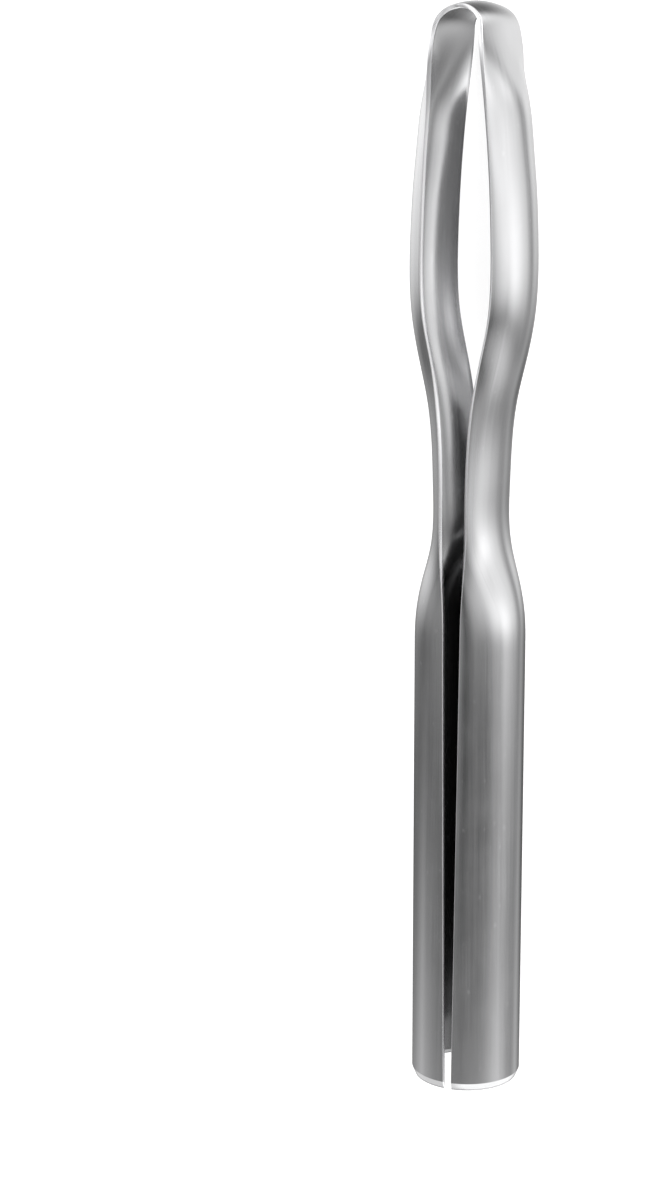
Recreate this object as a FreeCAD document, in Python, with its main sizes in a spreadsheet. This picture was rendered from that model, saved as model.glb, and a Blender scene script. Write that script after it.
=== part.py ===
import FreeCAD, Part
import Sketcher
import math
import os

# Apple corer made of one strip of sheet steel.
#
# The strip is folded over at the top into a narrow loop. Its two legs swell into a grip, close up at
# a neck and then flare into two half tubes, which together are the round blade. A slot runs down each
# side of the blade, between the halves.
#
# The corer lies on the edges of its strip. X is across the legs, Y is the long axis with the loop at
# +Y and the cutting end at -Y, and Z is the width of the strip. The origin is below the middle of it.
#
# A drop is a distance down the long axis from the top of the loop. A spread is taken over the backs of
# both legs, a bow is how far the strip is arched across its width, and a chord is the straight line
# from one of its edges to the other. From the loop down, a leg passes its foot, which is the end of the
# bend, then its brow, its grip, which is its widest place, its shoulder, its neck and its tube.

SIZES = {
    "overall_length": 215.0,
    "sheet_thickness": 0.9,
    "corner_radius": 0.2,
    "strip_width": 23.5,
    "loop_radius": 5.7,
    "loop_width": 17.4,
    "loop_bow": 0.6,
    "foot_width": 22.0,
    "brow_drop": 18.4,
    "brow_spread": 19.6,
    "brow_bow": 3.9,
    "grip_drop": 51.0,
    "grip_spread": 24.8,
    "grip_bow": 5.2,
    "shoulder_drop": 68.0,
    "shoulder_spread": 20.6,
    "shoulder_bow": 5.4,
    "neck_drop": 100.3,
    "neck_spread": 14.0,
    "neck_bow": 4.2,
    "tube_drop": 124.9,
    "tube_diameter": 22.0,
    "slot_at_top": 3.4,
    "slot_at_end": 1.5,
    "grind_length": 1.6,
    "land_thickness": 0.25,
}

# Degrees from the top of the bend at which it gets a section on each side, and at which it ends.
BEND_TURNS = (30, 60)
BEND_END = 90

# Right and left leg, as the sign of X and the direction in which the strip's back faces there.
LEGS = {"right": (1, 0), "left": (-1, 180)}


def make_sheet(document):
    """Give each driving dimension a named cell."""
    sheet = document.addObject("Spreadsheet::Sheet", "Sizes")
    for row, (name, size) in enumerate(SIZES.items(), start=1):
        sheet.set(f"A{row}", name)
        sheet.set(f"B{row}", str(size))
        sheet.setAlias(f"B{row}", name)
    document.recompute()


def origin_plane(body, role):
    """One of the body's own origin planes."""
    return next(feature for feature in body.Origin.OriginFeatures if feature.Role == role)


def evenly(step):
    return step


def quickening(step):
    """Slow at first, quick at the end."""
    return step ** 2


def slowing(step):
    """Quick at first, slow at the end."""
    return 1 - (1 - step) ** 2


def slowing_long(step):
    """Quicker at first, and slow for longer at the end."""
    return 1 - (1 - step) ** 3


def slow_at_both_ends(step):
    return step ** 2 * (3 - 2 * step)


def slow_to_settle(step):
    """Slow at the start, quick soon after it, and slow for longer at the end."""
    return step ** 2 * (6 - 8 * step + 3 * step ** 2)


def blend(first, second, share):
    """Expression for the value that lies a share of the way from the first to the second."""
    return f"(({first}) + (({second}) - ({first})) * {share})"


def bowed_chord(width, bow):
    """Expression for the chord that a strip of this width has left when it is bowed this much."""
    return f"{width} - 8 / 3 * {bow} ^ 2 / ({width})"


def half_tube(drop, slot):
    """One half of the blade: an arc about the blade's own axis, short of the other half by the slot."""
    return {
        "drop": drop,
        "back": "Sizes.tube_diameter / 2",
        "bow": f"(Sizes.tube_diameter - {slot}) / 2",
        "chord": f"sqrt(Sizes.tube_diameter ^ 2 - {slot} ^ 2)",
    }


def named_sections():
    """Sections of a leg that have sizes of their own, from the end of the bend to the cutting end."""
    sections = {
        "foot": {
            "drop": "Sizes.loop_radius",
            "back": "Sizes.loop_radius",
            "bow": "Sizes.loop_bow",
            "chord": bowed_chord("Sizes.foot_width", "Sizes.loop_bow"),
        },
    }
    for name in ("brow", "grip", "shoulder", "neck"):
        sections[name] = {
            "drop": f"Sizes.{name}_drop",
            "back": f"Sizes.{name}_spread / 2",
            "bow": f"Sizes.{name}_bow",
            "chord": bowed_chord("Sizes.strip_width", f"Sizes.{name}_bow"),
        }
    sections["tube"] = half_tube("Sizes.tube_drop", "Sizes.slot_at_top")
    sections["tip"] = half_tube("Sizes.overall_length", "Sizes.slot_at_end")
    return sections


# How the sections on the way to a named section go down, and how they change. The blade's sections are
# closest at its two ends, which keeps it straight between them.
RUNS = {
    "brow": (evenly, evenly),
    "grip": (evenly, slowing),
    "shoulder": (evenly, quickening),
    "neck": (evenly, slowing_long),
    "tube": (evenly, slow_to_settle),
    "tip": (slow_at_both_ends, slow_at_both_ends),
}

# Number of steps in which each named section is reached.
STEP_COUNTS = {"brow": 1, "grip": 4, "shoulder": 2, "neck": 4, "tube": 5, "tip": 8}


def leg_sections():
    """All sections of one leg, from the end of the bend to the cutting end."""
    named = named_sections()
    above = "foot"
    sections = {above: named[above]}
    for below, (way, change) in RUNS.items():
        for count in range(1, STEP_COUNTS[below]):
            step = count / STEP_COUNTS[below]
            between = {"drop": blend(named[above]["drop"], named[below]["drop"], way(step))}
            for size in ("back", "bow", "chord"):
                between[size] = blend(named[above][size], named[below][size], change(step))
            sections[f"{above}_{below}_{count}"] = between
        sections[below] = named[below]
        above = below
    return sections


# Height of the blade's axis and of the middle of the strip. The corer rests on the strip's widest place,
# which lies between the foot and the brow and is two thirds of the way from one's width to the other's.
MIDDLE = f"{blend('Sizes.foot_width', 'Sizes.strip_width', '2 / 3')} / 2"


def point(x, y):
    return FreeCAD.Vector(x, y, 0)


def at_angle(centre, radius, angle):
    return centre + FreeCAD.Vector(radius * math.cos(angle), radius * math.sin(angle), 0)


def arc(centre, radius, start, end):
    circle = Part.Circle(centre, FreeCAD.Vector(0, 0, 1), radius)
    return Part.ArcOfCircle(circle, start, end)


def drive(sketch, constraints):
    """Add named constraints to a sketch, each bound to its expression."""
    for name, (constraint, expression) in constraints.items():
        index = sketch.addConstraint(constraint)
        sketch.renameConstraint(index, name)
        sketch.setExpression(f"Constraints.{name}", expression)


def draw_section(sketch, bow, chord):
    """Draw the strip's section with its back at the sketch's origin and bind it to its sizes.

    The sketch's x points out of the back of the strip and its y runs across the strip. The section is
    a band between two arcs with one centre, its ends lie on rays from that centre, and its four corners
    are broken.
    """
    rise = sketch.evalExpression(bow)
    half = sketch.evalExpression(chord) / 2
    wall = sketch.evalExpression("Sizes.sheet_thickness")
    corner = sketch.evalExpression("Sizes.corner_radius")

    outside = (half ** 2 + rise ** 2) / (2 * rise)
    inside = outside - wall
    centre = point(-outside, 0)
    reach = 2 * math.atan2(rise, half)
    outer_reach = reach - math.asin(corner / (outside - corner))
    inner_reach = reach - math.asin(corner / (inside + corner))
    outer_end = math.sqrt((outside - corner) ** 2 - corner ** 2)
    inner_end = math.sqrt((inside + corner) ** 2 - corner ** 2)
    square = math.pi / 2

    def corner_arc(radius, angle, start, end):
        return arc(at_angle(centre, radius, angle), corner, start, end)

    back, top_outer, top, top_inner, hollow, low_inner, low, low_outer = sketch.addGeometry([
        arc(centre, outside, -outer_reach, outer_reach),
        corner_arc(outside - corner, outer_reach, outer_reach, reach + square),
        Part.LineSegment(at_angle(centre, outer_end, reach), at_angle(centre, inner_end, reach)),
        corner_arc(inside + corner, inner_reach, reach + square, inner_reach + 2 * square),
        arc(centre, inside, -inner_reach, inner_reach),
        corner_arc(inside + corner, -inner_reach, 2 * square - inner_reach, 3 * square - reach),
        Part.LineSegment(at_angle(centre, inner_end, -reach), at_angle(centre, outer_end, -reach)),
        corner_arc(outside - corner, -outer_reach, -square - reach, -outer_reach),
    ], False)
    edge, other_edge, wall_point = sketch.addGeometry([
        Part.Point(point(-rise, half)),
        Part.Point(point(-rise, -half)),
        Part.Point(point(-wall, 0)),
    ], True)

    start, end, middle = 1, 2, 3
    x_axis = -1
    sketch.addConstraint([
        Sketcher.Constraint("Tangent", back, end, top_outer, start),
        Sketcher.Constraint("Tangent", top_outer, end, top, start),
        Sketcher.Constraint("Tangent", top, end, top_inner, start),
        Sketcher.Constraint("Tangent", top_inner, end, hollow, end),
        Sketcher.Constraint("Tangent", hollow, start, low_inner, start),
        Sketcher.Constraint("Tangent", low_inner, end, low, start),
        Sketcher.Constraint("Tangent", low, end, low_outer, start),
        Sketcher.Constraint("Tangent", low_outer, end, back, start),
        Sketcher.Constraint("Coincident", back, middle, hollow, middle),
        Sketcher.Constraint("PointOnObject", back, middle, x_axis),
        Sketcher.Constraint("PointOnObject", x_axis, start, back),
        Sketcher.Constraint("PointOnObject", edge, start, back),
        Sketcher.Constraint("PointOnObject", edge, start, top),
        Sketcher.Constraint("PointOnObject", back, middle, top),
        Sketcher.Constraint("Symmetric", edge, start, other_edge, start, x_axis),
        Sketcher.Constraint("PointOnObject", other_edge, start, low),
        Sketcher.Constraint("PointOnObject", back, middle, low),
        Sketcher.Constraint("PointOnObject", wall_point, start, x_axis),
        Sketcher.Constraint("PointOnObject", wall_point, start, hollow),
        Sketcher.Constraint("Equal", top_outer, top_inner),
        Sketcher.Constraint("Equal", top_outer, low_inner),
        Sketcher.Constraint("Equal", top_outer, low_outer),
    ])
    drive(sketch, {
        "bow": (Sketcher.Constraint("DistanceX", edge, start, x_axis, start, rise), bow),
        "half_chord": (Sketcher.Constraint("DistanceY", x_axis, start, edge, start, half), f"({chord}) / 2"),
        "wall": (
            Sketcher.Constraint("DistanceX", wall_point, start, x_axis, start, wall),
            "Sizes.sheet_thickness",
        ),
        "corner": (Sketcher.Constraint("Radius", top_outer, corner), "Sizes.corner_radius"),
    })


def add_section(body, label, place, bow, chord):
    """Add a section sketch to the body.

    Its place has expressions for the X of its back, for its drop and for the angle, in degrees from +X
    and about the width of the strip, in which the back of the strip faces.
    """
    sketch = body.newObject("Sketcher::SketchObject", label)
    sketch.AttachmentSupport = [(origin_plane(body, "XZ_Plane"), "")]
    sketch.MapMode = "FlatFace"
    across_strip = FreeCAD.Vector(0, 1, 0)
    sketch.AttachmentOffset = FreeCAD.Placement(
        FreeCAD.Vector(0, 0, 0), FreeCAD.Rotation(across_strip, place["facing"])
    )
    sketch.setExpression("AttachmentOffset.Base.x", place["back"])
    sketch.setExpression("AttachmentOffset.Base.y", MIDDLE)
    sketch.setExpression("AttachmentOffset.Base.z", f"{place['drop']} - Sizes.overall_length / 2")
    draw_section(sketch, bow, chord)
    return sketch


def add_leg_sections(body, leg):
    """Sections of one leg, from the end of the bend to the cutting end."""
    sign, facing = LEGS[leg]
    sketches = []
    for name, section in leg_sections().items():
        place = {"back": f"{sign} * ({section['back']})", "drop": section["drop"], "facing": facing}
        sketches.append(add_section(body, f"{leg}_{name}", place, section["bow"], section["chord"]))
    return sketches


def add_bend_section(body, turn):
    """A section of the bend, at a turn in degrees from its top, positive towards the right leg."""
    share = abs(turn) / BEND_END
    place = {
        "back": f"Sizes.loop_radius * sin({turn} deg)",
        "drop": f"Sizes.loop_radius * (1 - cos({turn} deg))",
        "facing": BEND_END - turn,
    }
    label = f"bend_{'left' if turn < 0 else 'right'}_{abs(turn)}" if turn else "bend_top"
    width = blend("Sizes.loop_width", "Sizes.foot_width", share)
    return add_section(body, label, place, "Sizes.loop_bow", bowed_chord(width, "Sizes.loop_bow"))


def add_strip(body):
    """Loft the whole strip, from the left cutting end over the bend to the right one."""
    left = add_leg_sections(body, "left")[::-1]
    turns = [-turn for turn in reversed(BEND_TURNS)] + [0] + list(BEND_TURNS)
    bend = [add_bend_section(body, turn) for turn in turns]
    right = add_leg_sections(body, "right")
    sections = left + bend + right
    strip = body.newObject("PartDesign::AdditiveLoft", "strip")
    strip.Profile = sections[0]
    strip.Sections = sections[1:]
    strip.Ruled = False
    return strip


def add_grind(body):
    """Grind the outside of the blade down to a thin land at the cutting end, round the blade's axis.

    The sketch's x is the distance from the axis and its y the distance up from the cutting end. The
    grind's slope runs on past the strip on both sides, so that it cuts it cleanly.
    """
    sketch = body.newObject("Sketcher::SketchObject", "grind_profile")
    sketch.AttachmentSupport = [(origin_plane(body, "XY_Plane"), "")]
    sketch.MapMode = "FlatFace"
    sketch.setExpression("AttachmentOffset.Base.z", MIDDLE)
    sketch.setExpression("AttachmentOffset.Base.y", "-Sizes.overall_length / 2")

    outside_radius = "Sizes.tube_diameter / 2"
    land_radius = "Sizes.tube_diameter / 2 - Sizes.sheet_thickness + Sizes.land_thickness"
    outside = sketch.evalExpression(outside_radius)
    land = sketch.evalExpression(land_radius)
    length = sketch.evalExpression("Sizes.grind_length")
    wall = sketch.evalExpression("Sizes.sheet_thickness")
    lean = (outside - land) / length
    low = point(land - lean * wall, -wall)
    high = point(outside + wall, length + wall / lean)
    slope, side, bottom = sketch.addGeometry([
        Part.LineSegment(low, high),
        Part.LineSegment(high, point(high.x, low.y)),
        Part.LineSegment(point(high.x, low.y), low),
    ], False)
    land_point, outside_point = sketch.addGeometry(
        [Part.Point(point(land, 0)), Part.Point(point(outside, length))], True
    )

    start, end = 1, 2
    x_axis = -1
    sketch.addConstraint([
        Sketcher.Constraint("Coincident", slope, end, side, start),
        Sketcher.Constraint("Coincident", side, end, bottom, start),
        Sketcher.Constraint("Coincident", bottom, end, slope, start),
        Sketcher.Constraint("Vertical", side),
        Sketcher.Constraint("Horizontal", bottom),
        Sketcher.Constraint("PointOnObject", land_point, start, x_axis),
        Sketcher.Constraint("PointOnObject", land_point, start, slope),
        Sketcher.Constraint("PointOnObject", outside_point, start, slope),
    ])
    drive(sketch, {
        "land": (
            Sketcher.Constraint("DistanceX", x_axis, start, land_point, start, land),
            land_radius,
        ),
        "outside": (
            Sketcher.Constraint("DistanceX", x_axis, start, outside_point, start, outside),
            outside_radius,
        ),
        "length": (
            Sketcher.Constraint("DistanceY", x_axis, start, outside_point, start, length),
            "Sizes.grind_length",
        ),
        "beyond_back": (
            Sketcher.Constraint("DistanceX", outside_point, start, slope, end, wall),
            "Sizes.sheet_thickness",
        ),
        "beyond_end": (
            Sketcher.Constraint("DistanceY", slope, start, land_point, start, wall),
            "Sizes.sheet_thickness",
        ),
    })
    grind = body.newObject("PartDesign::Groove", "grind")
    grind.Profile = sketch
    grind.ReferenceAxis = (sketch, ["V_Axis"])
    grind.Angle = 360
    return grind


def make_corer(document):
    """The corer: the lofted strip, ground at its cutting end."""
    body = document.addObject("PartDesign::Body", "corer_strip")
    body.Label = "corer_strip"
    body.Placement = FreeCAD.Placement()
    add_strip(body)
    document.recompute()
    lofted_volume = body.Shape.Volume
    body.Tip = add_grind(body)
    document.recompute()
    if not body.Shape.Volume < lofted_volume:
        raise RuntimeError("the grind took nothing off the cutting end")
    return body


def check(document, bodies):
    """Stop if anything in the document failed or a body has no sound solid."""
    for item in document.Objects:
        if {"Invalid", "Error"} & set(item.State):
            raise RuntimeError(f"{item.Label} failed: {item.State}")
    for body in bodies:
        if body.Shape.isNull() or not body.Shape.isValid() or len(body.Shape.Solids) != 1:
            raise RuntimeError(f"{body.Label} is not one sound solid")


document = FreeCAD.newDocument("AppleCorer")
make_sheet(document)
bodies = [make_corer(document)]
check(document, bodies)
os.makedirs("parts", exist_ok=True)
for body in bodies:
    body.Shape.exportStep(f"parts/{body.Label}.step")
    box = body.Shape.BoundBox
    print(body.Label, "volume", round(body.Shape.Volume, 1), "box", box)
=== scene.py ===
import math

import bpy
import numpy as np
from mathutils import Matrix, Vector

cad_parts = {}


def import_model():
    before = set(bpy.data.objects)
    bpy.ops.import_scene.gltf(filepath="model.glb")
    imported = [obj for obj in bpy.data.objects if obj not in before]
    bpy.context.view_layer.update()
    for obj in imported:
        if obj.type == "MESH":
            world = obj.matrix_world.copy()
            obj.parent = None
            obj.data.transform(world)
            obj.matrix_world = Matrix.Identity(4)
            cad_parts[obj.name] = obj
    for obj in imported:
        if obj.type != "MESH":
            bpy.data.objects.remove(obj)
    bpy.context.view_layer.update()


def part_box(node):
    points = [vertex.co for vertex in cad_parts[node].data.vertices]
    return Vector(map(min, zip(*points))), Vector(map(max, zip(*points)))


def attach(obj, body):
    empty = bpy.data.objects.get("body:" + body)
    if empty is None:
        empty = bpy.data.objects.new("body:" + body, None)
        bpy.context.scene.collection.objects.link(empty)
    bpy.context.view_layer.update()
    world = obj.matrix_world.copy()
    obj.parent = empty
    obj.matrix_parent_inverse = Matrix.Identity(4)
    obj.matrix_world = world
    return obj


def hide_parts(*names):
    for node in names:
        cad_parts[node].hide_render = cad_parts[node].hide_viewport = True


# Apple corer of satin stainless sheet, lying on a pale floor and seen from above its right leg.
#
# X is across the legs, Y is the long axis with the loop at +Y and the cutting end at -Y, and Z is
# the width of the strip. Lengths are in metres. A drop is a distance down from the top of the loop.

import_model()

NODE = "corer_strip"
BODY = "root"
MM = 0.001

node_low, node_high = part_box(NODE)
TOP = node_high.y
LENGTH = node_high.y - node_low.y

# Sizes of the strip in millimetres, as in the solid that it stands for.
WALL = 0.9
CORNER_RADIUS = 0.2
STRIP_WIDTH = 23.5
LOOP_RADIUS = 5.7
LOOP_WIDTH = 17.4
LOOP_BOW = 0.6
FOOT_WIDTH = 22.0
BROW = {"drop": 18.4, "spread": 19.6, "bow": 3.9}
GRIP = {"drop": 51.0, "spread": 24.8, "bow": 5.2}
SHOULDER = {"drop": 68.0, "spread": 20.6, "bow": 5.4}
NECK = {"drop": 100.3, "spread": 14.0, "bow": 4.2}
TUBE_DROP = 124.9
TUBE_DIAMETER = 22.0
SLOT_AT_TOP = 3.4
SLOT_AT_END = 1.5
GRIND_LENGTH = 1.6
LAND = 0.25

# The bend's own sections, in degrees from its top.
BEND_TURNS = (-60, -30, 0, 30, 60)

# How finely the strip is meshed: points over its back, points in each rounded corner, and the
# distance between rows of points along the legs and round the bend, in millimetres. The close rows
# reach this far from the top of the bend, and two more stand this far from the grind's edge.
BACK_POINTS = 33
CORNER_POINTS = 4
LEG_STEP = 0.8
BEND_STEP = 0.3
BEND_REACH = 24.0
GRIND_EDGE = 0.03

# How much darker the thin line of painted shade inside each cut edge is, against how much lighter the
# edge's painted highlight makes the edge.
EDGE_SHADE_LINE = 0.8

# Between these places along the strip, in millimetres from the bend, painted shade darkens its inner face,
# and beyond them the face stays dark.
SHADE_FROM = 103
SHADE_TO = 122

# Name of the UV map that the grain follows, and the millimetres that it spans.
GRAIN = "grain"
UV_SPAN = 500.0


def chord_of(width, bow):
    """Straight width that a strip has left when it is bowed this much."""
    return width - 8 / 3 * bow ** 2 / width


MIDDLE = (FOOT_WIDTH + 2 * STRIP_WIDTH) / 6


def evenly(step):
    return step


def quickening(step):
    return step ** 2


def slowing(step):
    return 1 - (1 - step) ** 2


def slowing_long(step):
    return 1 - (1 - step) ** 3


def slow_at_both_ends(step):
    return step ** 2 * (3 - 2 * step)


def slow_to_settle(step):
    return step ** 2 * (6 - 8 * step + 3 * step ** 2)


def half_tube(drop, slot):
    """Back, drop, bow and chord of one half of the blade."""
    radius = TUBE_DIAMETER / 2
    return np.array([radius, drop, radius - slot / 2, 2 * math.sqrt(radius ** 2 - slot ** 2 / 4)])


def leg_stations():
    """Back, drop, bow and chord of each section of a leg, from the bend to the cutting end."""
    foot = np.array([LOOP_RADIUS, LOOP_RADIUS, LOOP_BOW, chord_of(FOOT_WIDTH, LOOP_BOW)])
    bowed = [
        np.array([place["spread"] / 2, place["drop"], place["bow"], chord_of(STRIP_WIDTH, place["bow"])])
        for place in (BROW, GRIP, SHOULDER, NECK)
    ]
    named = [foot, *bowed, half_tube(TUBE_DROP, SLOT_AT_TOP), half_tube(LENGTH / MM, SLOT_AT_END)]
    runs = [
        (evenly, evenly, 1),
        (evenly, slowing, 4),
        (evenly, quickening, 2),
        (evenly, slowing_long, 4),
        (evenly, slow_to_settle, 5),
        (slow_at_both_ends, slow_at_both_ends, 8),
    ]
    stations = [foot]
    for above, below, (way, change, steps) in zip(named, named[1:], runs):
        for count in range(1, steps + 1):
            step = count / steps
            station = above + (below - above) * change(step)
            station[1] = above[1] + (below[1] - above[1]) * way(step)
            stations.append(station)
    return stations


def section(bow, chord):
    """Closed outline of the strip's section, from the middle of its lower end round the back.

    The first coordinate points out of the back, and the second goes across the strip. A point and
    its partner, counted from the other end of the list, lie across the wall from each other.
    """
    outside = (chord ** 2 / 4 + bow ** 2) / (2 * bow)
    inside = outside - WALL
    reach = 2 * math.atan2(bow, chord / 2)
    outer_reach = reach - math.asin(CORNER_RADIUS / (outside - CORNER_RADIUS))
    inner_reach = reach - math.asin(CORNER_RADIUS / (inside + CORNER_RADIUS))

    def ring(radius, angles):
        return [(radius * math.cos(angle) - outside, radius * math.sin(angle)) for angle in angles]

    def corner(radius, place, first, last):
        centre = ring(radius, [place])[0]
        angles = np.linspace(first, last, CORNER_POINTS + 1)[:-1]
        return [
            (centre[0] + CORNER_RADIUS * math.cos(angle), centre[1] + CORNER_RADIUS * math.sin(angle))
            for angle in angles
        ]

    square = math.pi / 2
    back = ring(outside, np.linspace(-outer_reach, outer_reach, BACK_POINTS))
    hollow = ring(inside, np.linspace(inner_reach, -inner_reach, BACK_POINTS))
    low_outer = corner(outside - CORNER_RADIUS, -outer_reach, -square - reach, -outer_reach)
    top_outer = corner(outside - CORNER_RADIUS, outer_reach, reach + square, outer_reach)[::-1]
    top_inner = corner(inside + CORNER_RADIUS, inner_reach, reach + square, inner_reach + math.pi)
    low_inner = corner(inside + CORNER_RADIUS, -inner_reach, -square - reach, -inner_reach - math.pi)[::-1]
    return np.array(low_outer + back + top_outer + top_inner + hollow + low_inner)


def placed(back, drop, facing, bow, chord):
    """Outline of one section in the frame, in millimetres, with its back facing this way."""
    outline = section(bow, chord)
    x = back + math.cos(facing) * outline[:, 0]
    y = TOP / MM - drop + math.sin(facing) * outline[:, 0]
    z = MIDDLE + outline[:, 1]
    return np.column_stack([x, y, z])


def strip_sections():
    """Sections of the whole strip, from the left cutting end over the bend to the right one."""
    right = [placed(back, drop, 0, bow, chord) for back, drop, bow, chord in leg_stations()]
    bend = []
    for turn in BEND_TURNS:
        width = LOOP_WIDTH + (FOOT_WIDTH - LOOP_WIDTH) * abs(turn) / 90
        angle = math.radians(turn)
        bend.append(placed(
            LOOP_RADIUS * math.sin(angle), LOOP_RADIUS * (1 - math.cos(angle)),
            math.pi / 2 - angle, LOOP_BOW, chord_of(width, LOOP_BOW),
        ))
    left = [outline * (-1, 1, 1) for outline in reversed(right)]
    return np.array(left + bend + right)


def spline(knots, values, at):
    """Cubic spline with a continuous curvature through the values, with free ends."""
    gaps = np.diff(knots)
    slopes = np.diff(values, axis=0) / gaps[:, None]
    size = len(knots)
    system = np.eye(size)
    wanted = np.zeros_like(values)
    for row in range(1, size - 1):
        system[row, row - 1:row + 2] = gaps[row - 1], 2 * (gaps[row - 1] + gaps[row]), gaps[row]
        wanted[row] = 6 * (slopes[row] - slopes[row - 1])
    bends = np.linalg.solve(system, wanted)
    span = np.clip(np.searchsorted(knots, at, side="right") - 1, 0, size - 2)
    gap = gaps[span][:, None]
    before = (knots[span + 1] - at)[:, None]
    after = (at - knots[span])[:, None]
    return (
        (bends[span] * before ** 3 + bends[span + 1] * after ** 3) / (6 * gap)
        + (values[span] / gap - bends[span] * gap / 6) * before
        + (values[span + 1] / gap - bends[span + 1] * gap / 6) * after
    )


def rows_along(knots):
    """Places along the strip at which it gets a row of points: close together round the bend."""
    middle = knots[len(knots) // 2]
    end = knots[-1] - middle
    leg = np.linspace(BEND_REACH, end, round((end - BEND_REACH) / LEG_STEP) + 1)
    edge = end - GRIND_LENGTH
    leg = np.sort(np.append(leg, [edge - GRIND_EDGE, edge, edge + GRIND_EDGE]))
    half = np.concatenate([np.arange(0, BEND_REACH, BEND_STEP), leg])
    return middle + np.concatenate([-half[:0:-1], half])


def strip_rows():
    """Rows of points over the whole strip, with their place along it, in millimetres."""
    sections = strip_sections()
    flat = sections.reshape(len(sections), -1)
    steps = np.linalg.norm(np.diff(sections, axis=0), axis=2).mean(axis=1)
    knots = np.concatenate([[0], np.cumsum(steps)])
    along = rows_along(knots)
    rows = spline(knots, flat, along).reshape(len(along), -1, 3)
    return rows, along - knots[len(knots) // 2]


def ground(rows):
    """Grind the outside of the blade's end down to a thin land, round the blade's axis."""
    height = rows[:, :, 1] - (TOP - LENGTH) / MM
    radius = np.hypot(rows[:, :, 0], rows[:, :, 2] - MIDDLE)
    land = TUBE_DIAMETER / 2 - WALL + LAND
    limit = land + (TUBE_DIAMETER / 2 - land) * height / GRIND_LENGTH
    share = np.where(height < GRIND_LENGTH, np.minimum(1, limit / np.maximum(radius, 1)), 1)
    rows[:, :, 0] *= share
    rows[:, :, 2] = MIDDLE + (rows[:, :, 2] - MIDDLE) * share
    return rows


def within_box(rows):
    """Bring the widest place inside the solid's box: the curve passes its flat facets by microns."""
    room = min(node_high.x, -node_low.x) / MM
    rows[:, :, 0] *= min(1, room / np.abs(rows[:, :, 0]).max())
    return rows


def strip_mesh():
    """Mesh of the strip: quads between the rows of points, and quads over both cut ends."""
    rows, along = strip_rows()
    rows = within_box(ground(rows))
    count, around = rows.shape[:2]
    faces = []
    for row in range(count - 1):
        for spot in range(around):
            beside = (spot + 1) % around
            here, there = row * around, (row + 1) * around
            faces.append((here + spot, here + beside, there + beside, there + spot))
    walls = len(faces)
    for start, order in ((0, 1), ((count - 1) * around, -1)):
        for spot in range(around // 2 - 1):
            corners = (spot, around - 1 - spot, around - 2 - spot, spot + 1)
            faces.append(tuple(start + corner for corner in corners[::order]))
    mesh = bpy.data.meshes.new("strip")
    mesh.from_pydata((rows.reshape(-1, 3) * MM).tolist(), [], faces)
    mesh.polygons.foreach_set("use_smooth", [number < walls for number in range(len(faces))])
    add_places(mesh, rows, along)
    mesh.validate()
    mesh.update()
    return mesh


def add_places(mesh, rows, along):
    """Give each point its place along and around the strip, in millimetres, for the steel.

    The cut edges, with their painted highlight and the line of painted shade inside each, and the painted
    shade inside the tube are marked too. The same place, as a UV map, lets the gloss follow the grain.
    """
    count, around = rows.shape[:2]
    outline = np.linalg.norm(np.diff(rows, axis=1, append=rows[:, :1]), axis=2)
    reach = np.column_stack([np.zeros(count), np.cumsum(outline, axis=1)])
    spots = np.zeros((count, around, 3))
    spots[:, :, 0] = along[:, None]
    spots[:, :, 1] = reach[:, :-1]
    place = mesh.attributes.new("strip_place", "FLOAT_VECTOR", "POINT")
    place.data.foreach_set("vector", spots.ravel())

    cut = np.zeros((count, around))
    half = around // 2
    for last in (CORNER_POINTS, half):
        cut[:, last - CORNER_POINTS:last] = 1
        cut[:, around - last:around - last + CORNER_POINTS] = 1
    # Painted shade: a darker line just inside each cut edge.
    cut[:, [half + CORNER_POINTS, around - CORNER_POINTS - 1]] = -EDGE_SHADE_LINE
    edge = mesh.attributes.new("cut_edge", "FLOAT", "POINT")
    edge.data.foreach_set("value", cut.ravel())

    hollow = np.zeros((count, around))
    # Painted shade: the inner face darkens inside the tube.
    hollow[:, half + CORNER_POINTS:around - CORNER_POINTS] = 1
    deep = np.clip((np.abs(along) - SHADE_FROM) / (SHADE_TO - SHADE_FROM), 0, 1)
    painted_shade = mesh.attributes.new("dull_inside", "FLOAT", "POINT")
    painted_shade.data.foreach_set("value", (hollow * deep[:, None]).ravel())

    uv_map = mesh.uv_layers.new(name=GRAIN)
    points = np.zeros(len(mesh.loops), dtype=int)
    mesh.loops.foreach_get("vertex_index", points)
    row, spot = np.divmod(points, around)
    wraps = (count - 1) * around * 4
    turn = np.arange(len(points)) % 4
    step = (np.arange(len(points)) // 4) % around
    column = np.where(np.arange(len(points)) < wraps, step + ((turn == 1) | (turn == 2)), spot)
    places = np.column_stack([reach[row, column] / UV_SPAN, (along[row] - along[0]) / UV_SPAN])
    uv_map.data.foreach_set("uv", places.ravel())


# Look of the steel: how rough it is, how much rougher across its grain, how light, how much of its
# red and green its blue is, and how deep its grain is, as a strength and a distance in metres.
STEEL_ROUGHNESS = 0.17
STEEL_GRAIN = 0.4
STEEL_TONE = 0.6
STEEL_BLUE = 1.012
EDGE_ROUGHNESS = 0.3
# The cut edges are rougher than the faces, and their lighter tone is a painted highlight.
EDGE_HIGHLIGHT_TONE = 0.92
# Painted shade: the darker tone of the inner face inside the tube.
SHADE_INSIDE_TONE = 0.26
RELIEF = 0.12
RELIEF_DEPTH = 0.00002
SCRATCH_DEPTH = 0.8

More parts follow.
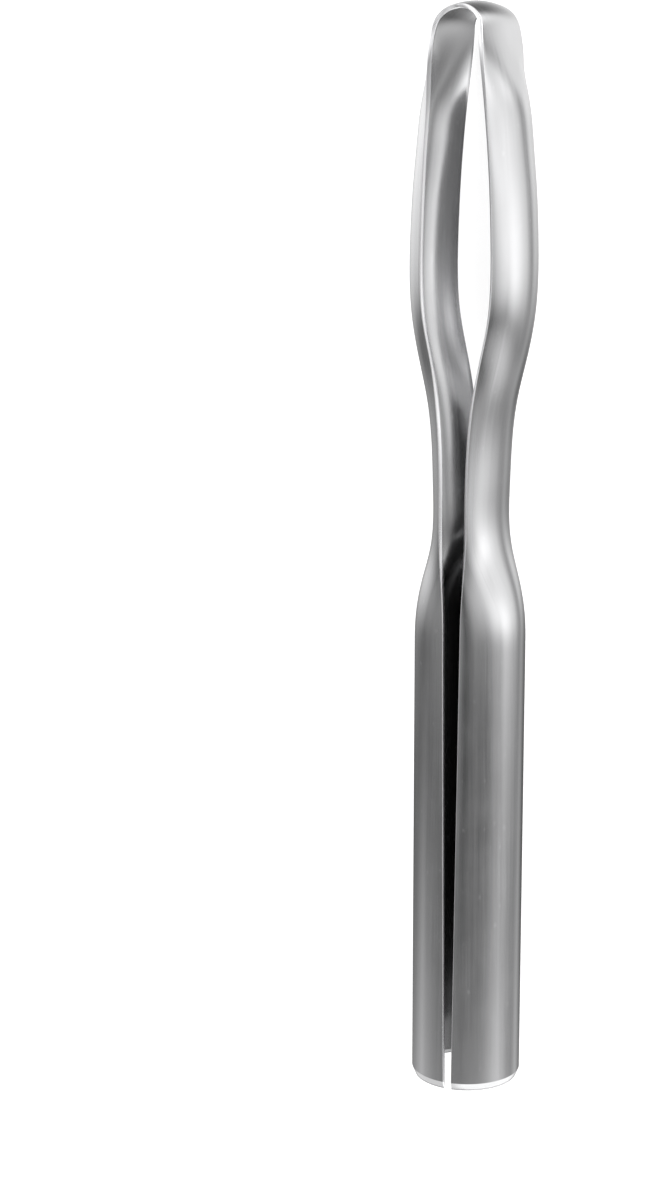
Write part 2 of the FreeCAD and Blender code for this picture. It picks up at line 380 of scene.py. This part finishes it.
# Noise patterns in the steel: how many features each has in a millimetre along the strip and around
# it, and its detail and roughness.
PATTERNS = {
    "grain": {"along": 0.05, "around": 9.0, "detail": 4, "roughness": 0.6},
    "bands": {"along": 0.012, "around": 0.9, "detail": 3, "roughness": 0.6},
    "smudges": {"along": 0.09, "around": 0.16, "detail": 3, "roughness": 0.6},
    "scratches": {"along": 0.022, "around": 3.2, "detail": 1, "roughness": 0.3},
    "specks": {"along": 0.8, "around": 0.9, "detail": 0, "roughness": 0},
}
SCRATCH_RANGE = (0.70, 0.78)
SPECK_RANGE = (0.775, 0.815)

# What the patterns do: over this range of its noise, each changes the roughness or the tone by these.
ROUGHNESS_CHANGES = (
    ("grain", (0.3, 0.7), (-0.035, 0.035)),
    ("bands", (0.3, 0.7), (-0.02, 0.02)),
    ("smudges", (0.35, 0.7), (-0.015, 0.03)),
    ("specks", SPECK_RANGE, (0, 0.035)),
)
TONE_CHANGES = (
    ("grain", (0.25, 0.75), (-0.018, 0.018)),
    ("bands", (0.3, 0.7), (-0.012, 0.012)),
    ("scratches", SCRATCH_RANGE, (0, -0.03)),
    ("specks", SPECK_RANGE, (0, 0.03)),
)


def nodes_of(material):
    material.use_nodes = True
    tree = material.node_tree
    tree.nodes.clear()
    return tree


def node(tree, kind, settings=None, **links):
    """A new node with these values and links on its sockets, each named in lower case."""
    made = tree.nodes.new(kind)
    for name, value in (settings or {}).items():
        setattr(made, name, value)
    for name, value in links.items():
        socket = next(
            put for put in made.inputs if put.name.lower().replace(" ", "_") == name and put.enabled
        )
        if isinstance(value, bpy.types.NodeSocket):
            tree.links.new(value, socket)
        else:
            socket.default_value = value
    return made


def noise(tree, place, along, around, detail, roughness):
    """Noise over the strip, from 0 to 1, with these features in a millimetre along and around it."""
    stretched = node(tree, "ShaderNodeVectorMath", {"operation": "MULTIPLY"}, vector=place)
    stretched.inputs[1].default_value = (along, around, 1)
    made = node(
        tree, "ShaderNodeTexNoise", vector=stretched.outputs["Vector"],
        scale=1, detail=detail, roughness=roughness,
    )
    return made.outputs[0]


def ranged(tree, value, reach, to_reach):
    """The value, taken from one range to another."""
    made = node(
        tree, "ShaderNodeMapRange", value=value,
        from_min=reach[0], from_max=reach[1], to_min=to_reach[0], to_max=to_reach[1],
    )
    return made.outputs["Result"]


def combined(tree, operation, first, second):
    joined = node(tree, "ShaderNodeMath", {"operation": operation})
    for socket, value in zip(joined.inputs, (first, second)):
        if isinstance(value, bpy.types.NodeSocket):
            tree.links.new(value, socket)
        else:
            socket.default_value = value
    return joined.outputs["Value"]


def total(tree, *values):
    """The sum of these sockets and numbers, of which one at least is a socket."""
    value = values[0]
    for other in values[1:]:
        value = combined(tree, "ADD", value, other)
    return value


def steel():
    """Satin stainless with a grain along the strip, its cut edges lightened by a painted highlight with a
    line of painted shade inside each, and painted shade on its inner face inside the tube.
    """
    material = bpy.data.materials.new("satin_stainless")
    tree = nodes_of(material)

    def mark(name):
        return node(tree, "ShaderNodeAttribute", {"attribute_name": name}).outputs

    def changes(rows):
        return [ranged(tree, patterns[name], reach, change) for name, reach, change in rows]

    def share(part, most):
        return combined(tree, "MULTIPLY", part, most)

    place = mark("strip_place")["Vector"]
    edge = mark("cut_edge")["Fac"]
    inside = mark("dull_inside")["Fac"]
    patterns = {name: noise(tree, place, **look) for name, look in PATTERNS.items()}

    blunt = share(combined(tree, "MAXIMUM", edge, 0), EDGE_ROUGHNESS - STEEL_ROUGHNESS)
    rough = total(tree, *changes(ROUGHNESS_CHANGES), blunt, STEEL_ROUGHNESS)
    # Painted highlight lightens the cut edges, and a line of painted shade darkens the inside of each.
    light = share(edge, EDGE_HIGHLIGHT_TONE - STEEL_TONE)
    # Painted shade on the inner face inside the tube.
    dark = share(inside, SHADE_INSIDE_TONE - STEEL_TONE)
    tone = total(tree, *changes(TONE_CHANGES), light, dark, STEEL_TONE)
    color = node(tree, "ShaderNodeCombineColor", red=tone, green=tone, blue=share(tone, STEEL_BLUE))

    scratched = share(ranged(tree, patterns["scratches"], SCRATCH_RANGE, (0, 1)), SCRATCH_DEPTH)
    relief = combined(tree, "SUBTRACT", patterns["grain"], scratched)
    bump = node(tree, "ShaderNodeBump", strength=RELIEF, distance=RELIEF_DEPTH, height=relief)
    tangent = node(tree, "ShaderNodeTangent", {"direction_type": "UV_MAP", "uv_map": GRAIN})
    shader = node(
        tree, "ShaderNodeBsdfPrincipled", metallic=1, roughness=rough, base_color=color.outputs["Color"],
        anisotropic=STEEL_GRAIN, normal=bump.outputs["Normal"], tangent=tangent.outputs["Tangent"],
    )
    node(tree, "ShaderNodeOutputMaterial", surface=shader.outputs["BSDF"])
    return material


# The floor: metres from its middle to its sides, how light and how rough it is, and how much light
# it gives off itself, as a lit table does.
FLOOR_REACH = 3.0
FLOOR_TONE = 0.8
FLOOR_ROUGHNESS = 0.9
FLOOR_GLOW = 0.7


def floor():
    """A plain pale table, lit from inside. The steel doesn't show it: nothing stood behind the real one."""
    corners = [(x * FLOOR_REACH, y * FLOOR_REACH, 0) for x, y in ((-1, -1), (1, -1), (1, 1), (-1, 1))]
    mesh = bpy.data.meshes.new("floor")
    mesh.from_pydata(corners, [], [(0, 1, 2, 3)])
    piece = bpy.data.objects.new("floor", mesh)
    bpy.context.scene.collection.objects.link(piece)
    material = bpy.data.materials.new("pale_floor")
    tree = nodes_of(material)
    shader = node(
        tree, "ShaderNodeBsdfPrincipled", base_color=(FLOOR_TONE, FLOOR_TONE, FLOOR_TONE, 1),
        roughness=FLOOR_ROUGHNESS, specular_ior_level=0,
        emission_color=(1, 1, 1, 1), emission_strength=FLOOR_GLOW,
    )
    node(tree, "ShaderNodeOutputMaterial", surface=shader.outputs["BSDF"])
    mesh.materials.append(material)
    piece.visible_glossy = False
    piece.visible_shadow = False


# The studio's soft lights, as patches of the sky, and how bright each is. A patch is given by its reach
# across the legs and along them on two round charts, one of all directions above the floor and one of
# those below it. Both keep areas true, have the horizon as their rim, at 1.41, and +X and +Y as in the
# frame, and 1.6 is past the rim. The steel alone shows the lower ones, which stand for the bright room
# round the table.
SOFT_LIGHTS = (
    {"half": "both", "across": (-1.6, 0.30), "along": (0.70, 1.6), "bright": 0.70},
    {"half": "both", "across": (0.30, 1.6), "along": (0.35, 1.6), "bright": 1.40},
    {"half": "above", "across": (-1.6, 0.02), "along": (-0.19, 0.49), "bright": 0.60},
    {"half": "above", "across": (0.38, 1.6), "along": (-0.16, 0.25), "bright": 0.92},
    {"half": "below", "across": (-1.6, 0.44), "along": (-0.10, 0.30), "bright": 0.95},
    {"half": "below", "across": (-1.6, -0.70), "along": (-0.20, 0.60), "bright": 0.45},
    {"half": "below", "across": (0.72, 1.6), "along": (-0.27, 1.4), "bright": 1.00},
    {"half": "both", "across": (-1.6, 1.6), "along": (-1.6, -0.49), "bright": 0.88},
    {"half": "above", "across": (-1.3, -0.52), "along": (0.13, 0.58), "bright": 1.30},
    {"half": "above", "across": (-0.17, 0.13), "along": (-0.02, 0.48), "bright": 1.00},
    {"half": "both", "across": (-0.10, 1.6), "along": (-1.6, -0.60), "bright": 0.65},
    {"half": "both", "across": (1.10, 1.6), "along": (-0.32, 0.06), "bright": 0.72},
    {"half": "below", "across": (0.30, 0.60), "along": (-0.60, 0.73), "bright": 0.40},
)

# How wide a patch's soft edge is, and how bright the room round the patches and the background are.
SOFT_EDGE = 0.42
ROOM_BRIGHT = 0.10
BACKGROUND_BRIGHT = 1.0

# How far up and down from the horizon one chart passes over into the other.
HORIZON_SOFT = 0.05


def window(tree, value, reach):
    """One inside this reach and nothing outside it, with soft ends."""
    ends = []
    for place, first, last in ((reach[0], 0, 1), (reach[1], 1, 0)):
        ramp = node(
            tree, "ShaderNodeMapRange", {"interpolation_type": "SMOOTHSTEP"}, value=value,
            from_min=place - SOFT_EDGE / 2, from_max=place + SOFT_EDGE / 2, to_min=first, to_max=last,
        )
        ends.append(ramp.outputs["Result"])
    return combined(tree, "MULTIPLY", *ends)


def world():
    """Soft studio light from all round, with a plain pale background."""
    made = bpy.data.worlds.new("studio")
    tree = nodes_of(made)
    direction = node(tree, "ShaderNodeTexCoord").outputs["Generated"]
    across, along, up = node(tree, "ShaderNodeSeparateXYZ", vector=direction).outputs
    height = combined(tree, "ADD", combined(tree, "ABSOLUTE", up, 0), 1)
    chart = combined(tree, "SQRT", combined(tree, "DIVIDE", 2, height), 0)
    across = combined(tree, "MULTIPLY", across, chart)
    along = combined(tree, "MULTIPLY", along, chart)
    above = ranged(tree, up, (-HORIZON_SOFT, HORIZON_SOFT), (0, 1))
    halves = {"above": above, "below": combined(tree, "SUBTRACT", 1, above), "both": 1}
    light = ROOM_BRIGHT
    for patch in SOFT_LIGHTS:
        wide = window(tree, across, patch["across"])
        inside = combined(tree, "MULTIPLY", wide, window(tree, along, patch["along"]))
        inside = combined(tree, "MULTIPLY", inside, halves[patch["half"]])
        light = combined(tree, "ADD", light, combined(tree, "MULTIPLY", inside, patch["bright"]))
    studio = node(tree, "ShaderNodeBackground", color=(1, 1, 1, 1), strength=light)
    plain = node(tree, "ShaderNodeBackground", color=(1, 1, 1, 1), strength=BACKGROUND_BRIGHT)
    seen = node(tree, "ShaderNodeLightPath").outputs["Is Camera Ray"]
    mixed = node(tree, "ShaderNodeMixShader", fac=seen)
    tree.links.new(studio.outputs["Background"], mixed.inputs[1])
    tree.links.new(plain.outputs["Background"], mixed.inputs[2])
    node(tree, "ShaderNodeOutputWorld", surface=mixed.outputs["Shader"])
    bpy.context.scene.world = made
    bpy.context.scene.view_settings.view_transform = "Standard"


# The camera, from a pinhole fit: its place in metres, its turns in degrees, its focal length and the
# photograph's height in pixels, and its sensor's longer side in millimetres.
CAMERA_PLACE = (0.1711, 0.1027, 0.4848)
CAMERA_SIDE = 19.88
CAMERA_PITCH = 12.44
CAMERA_YAW = 3.15
CAMERA_ROLL = -0.065
FOCAL_PIXELS = 2600
PHOTO_HEIGHT = 1200
SENSOR = 36


def turned(first, second, degrees):
    """The two directions, turned in their own plane, the first away from the second."""
    angle = math.radians(degrees)
    return (
        first * math.cos(angle) - second * math.sin(angle),
        second * math.cos(angle) + first * math.sin(angle),
    )


def camera():
    """The camera of the photograph, looking down on the corer from its right."""
    up = Vector((0, 1, 0))
    ahead, right = turned(Vector((0, 0, -1)), Vector((1, 0, 0)), CAMERA_SIDE)
    ahead, right = turned(ahead, right, CAMERA_YAW)
    ahead, up = turned(ahead, up, CAMERA_PITCH)
    up, right = turned(up, right, CAMERA_ROLL)
    data = bpy.data.cameras.new("camera")
    data.sensor_width = SENSOR
    data.lens = SENSOR * FOCAL_PIXELS / PHOTO_HEIGHT
    piece = bpy.data.objects.new("camera", data)
    piece.matrix_world = Matrix((
        (right.x, up.x, -ahead.x, CAMERA_PLACE[0]),
        (right.y, up.y, -ahead.y, CAMERA_PLACE[1]),
        (right.z, up.z, -ahead.z, CAMERA_PLACE[2]),
        (0, 0, 0, 1),
    ))
    bpy.context.scene.collection.objects.link(piece)
    bpy.context.scene.camera = piece


def strip():
    """The corer's one piece, in the place of its CAD node."""
    piece = bpy.data.objects.new("strip", strip_mesh())
    bpy.context.scene.collection.objects.link(piece)
    piece.data.materials.append(steel())
    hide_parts(NODE)
    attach(piece, BODY)


strip()
floor()
world()
camera()
